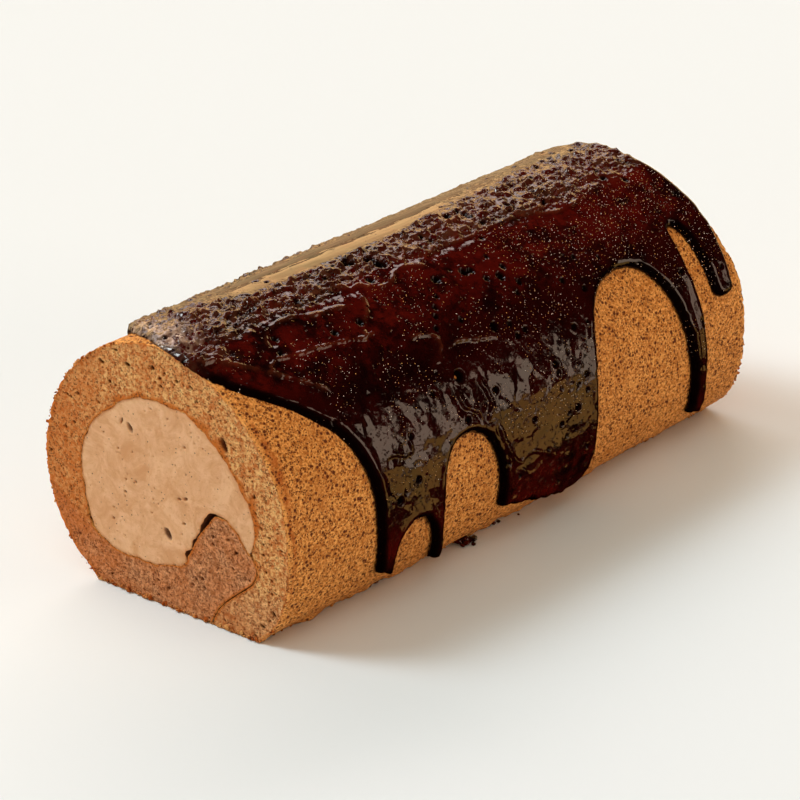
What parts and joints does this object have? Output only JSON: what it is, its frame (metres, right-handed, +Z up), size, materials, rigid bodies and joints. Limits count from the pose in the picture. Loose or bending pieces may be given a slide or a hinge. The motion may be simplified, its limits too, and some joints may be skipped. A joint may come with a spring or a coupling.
{
  "type": "swiss roll cake",
  "caption": "Chocolate sponge sheet rolled round a cream filling, both ends cut, with poured chocolate glaze that runs down both sides in drips.",
  "frame": {"origin": "middle of the flat base that the cake rests on", "axes": "+X along the roll from the end with the curled sheet shown to the far end, +Z up, -Y the front side"},
  "size_m": [0.1922, 0.0946, 0.0806],
  "materials": {
    "sponge": "baked chocolate sponge, dry and porous, tan brown with dark pinholes",
    "cream": "smooth pale coffee-coloured cream, soft sheen",
    "glaze": "set chocolate glaze, very dark red-brown, wet gloss"
  },
  "bodies": {
    "root": {"sponge": "sponge", "cream": "cream", "glaze": "glaze"}
  },
  "joints": []
}
